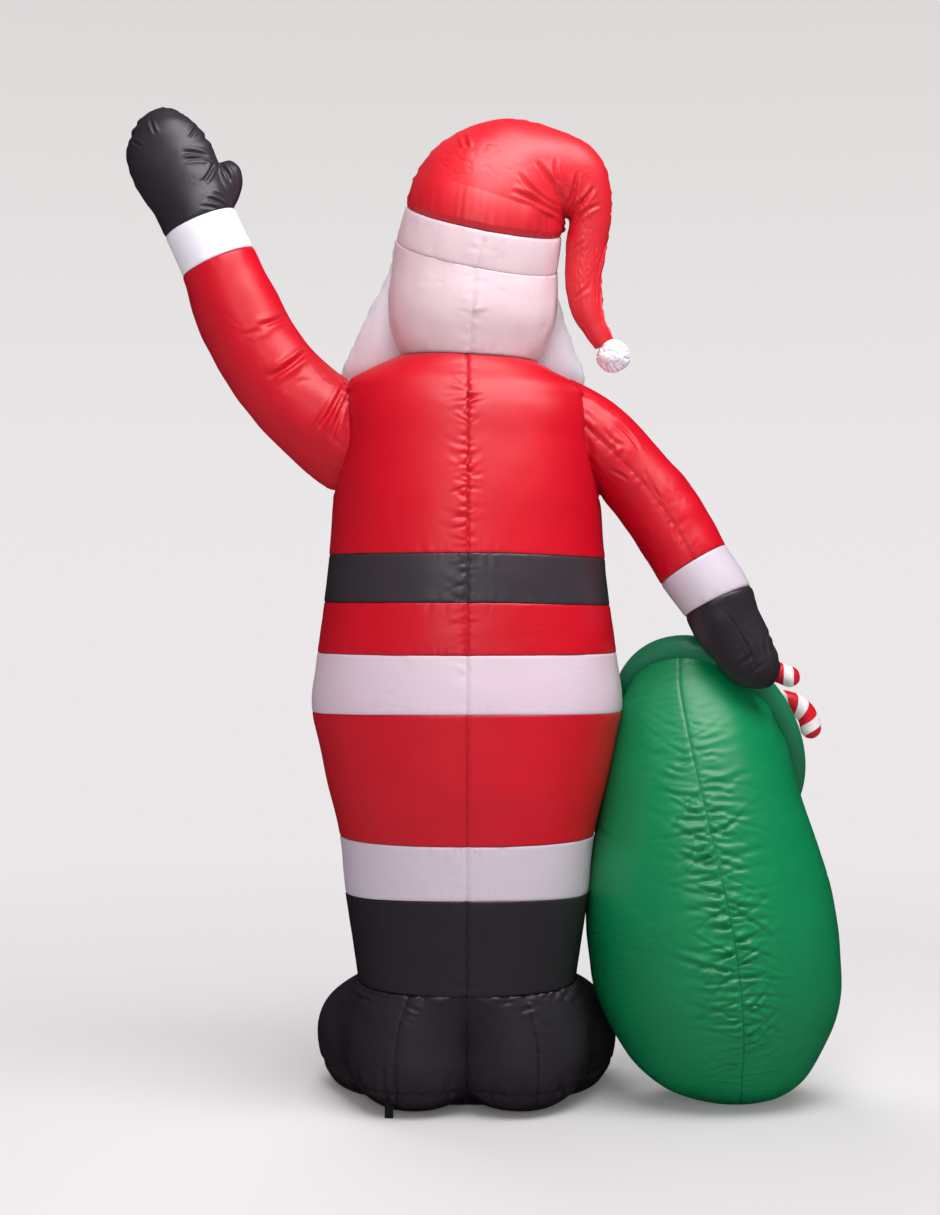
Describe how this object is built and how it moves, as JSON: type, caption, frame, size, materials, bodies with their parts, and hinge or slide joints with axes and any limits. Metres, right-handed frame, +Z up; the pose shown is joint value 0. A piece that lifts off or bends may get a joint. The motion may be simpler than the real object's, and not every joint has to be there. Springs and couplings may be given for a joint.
{
  "type": "inflatable santa",
  "caption": "Air-filled cloth Santa, one arm raised to wave and the other on a green sack with striped sweets, standing on its boots.",
  "frame": {"origin": "on the floor, on the middle seam of the boots' soles, under the middle of the body", "axes": "+Z up; the figure faces -Y; its raised left arm is at +X and the sack at -X"},
  "size_m": [1.7235, 0.762, 2.4],
  "materials": {
    "red_satin": "satin polyester cloth, sewn and inflated",
    "white_satin": "satin polyester cloth, sewn and inflated",
    "black_satin": "satin polyester cloth, sewn and inflated",
    "green_satin": "satin polyester cloth, sewn and inflated",
    "skin_satin": "satin polyester cloth, sewn and inflated",
    "striped_satin": "satin polyester cloth with red and white stripes",
    "webbing": "black woven webbing"
  },
  "bodies": {
    "root": {"boots": "black_satin", "boot_shafts": "black_satin", "trouser_band": "white_satin", "trousers": "red_satin", "coat_hem_band": "white_satin", "coat_skirt": "red_satin", "belt": "black_satin", "coat": "red_satin", "sleeve_left": "red_satin", "cuff_left": "white_satin", "mitten_left": "black_satin", "sleeve_right": "red_satin", "cuff_right": "white_satin", "mitten_right": "black_satin", "hair": "white_satin", "face": "skin_satin", "nose": "skin_satin", "moustache": "white_satin", "beard": "white_satin", "hat_band": "white_satin", "hat": "red_satin", "pompom": "white_satin", "sack": "green_satin", "sack_rim": "green_satin", "candy_cane_upper": "striped_satin", "candy_cane_hooked": "striped_satin", "tether_tab": "webbing"}
  },
  "joints": []
}
